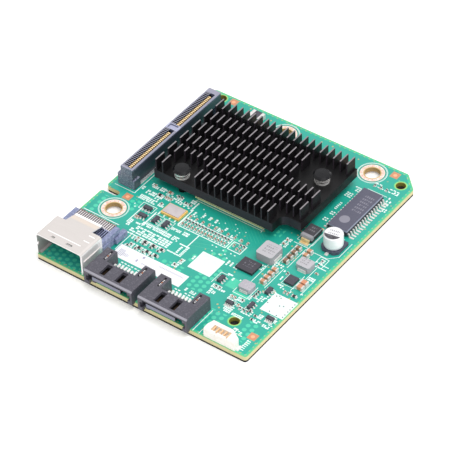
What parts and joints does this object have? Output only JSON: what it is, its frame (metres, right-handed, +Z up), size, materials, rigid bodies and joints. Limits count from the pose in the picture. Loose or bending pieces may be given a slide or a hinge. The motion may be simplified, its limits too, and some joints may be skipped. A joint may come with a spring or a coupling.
{
  "type": "raid controller card",
  "caption": "Flat storage controller card with a finned heat sink, edge plugs for drive cables and a tall board-to-board connector.",
  "frame": {"origin": "bottom centre of the whole card, on the underside of the insulating sheet", "axes": "+X along the connector edge from the mini-SAS side to the header side, +Y from the connector edge to the back, +Z up from the component face"},
  "size_m": [0.0816, 0.0964, 0.0127],
  "materials": {
    "board": "semi gloss mask over laminate",
    "black_film": "matt film",
    "black_anodised": "black anodised",
    "black_nylon": "matt",
    "bright_steel": "bright plated",
    "package_green": "laminate edge",
    "package_black": "matt mould compound",
    "pad_grey": "soft",
    "solder": "tinned",
    "blue_grey_plastic": "matt",
    "gold": "gold plated",
    "dark_grey_plastic": "matt",
    "white_plastic": "matt",
    "can_aluminium": "satin",
    "ferrite_grey": "matt",
    "ceramic_cream": "matt",
    "lid_metal": "satin",
    "ceramic_tan": "matt",
    "ceramic_brown": "matt",
    "ceramic_orange": "matt",
    "label_white": "matt"
  },
  "bodies": {
    "root": {"circuit_board": "board", "insulator_sheet": "black_film", "heat_sink": "black_anodised", "push_pin_left": "black_nylon", "push_pin_right": "black_nylon", "pin_spring_left": "bright_steel", "pin_spring_right": "bright_steel", "controller_substrate": "package_green", "controller_lid": "package_black", "thermal_pad": "pad_grey", "controller_solder_balls": "solder", "mezzanine_housing": "blue_grey_plastic", "mezzanine_contacts": "gold", "mezzanine_solder_tails": "solder", "sas_cage": "lid_metal", "sas_body": "blue_grey_plastic", "sas_contacts": "gold", "sata_housing_left": "dark_grey_plastic", "sata_housing_right": "dark_grey_plastic", "sata_contacts": "gold", "sata_board_locks": "solder", "header_housing": "white_plastic", "header_pins": "gold", "header_solder_tabs": "solder", "memory_chip_body": "package_black", "memory_chip_leads": "solder", "capacitor_can": "can_aluminium", "capacitor_base": "package_black", "capacitor_terminals": "solder", "diode_body": "package_black", "diode_terminals": "solder", "inductor_large": "ferrite_grey", "inductor_medium": "ferrite_grey", "inductor_small": "ferrite_grey", "inductor_terminals": "solder", "regulator_large": "package_black", "regulator_small": "package_black", "small_chip_bodies": "package_black", "small_chip_leads": "solder", "oscillator_base": "ceramic_cream", "oscillator_lid": "lid_metal", "power_capacitors_tan": "ceramic_tan", "power_capacitors_brown": "ceramic_brown", "power_capacitors_orange": "ceramic_orange", "power_capacitor_ends": "solder", "small_capacitors": "ceramic_tan", "small_resistors": "package_black", "small_component_ends": "solder", "rear_chip_body": "package_black", "rear_chip_ends": "solder", "blank_label": "label_white"}
  },
  "joints": []
}
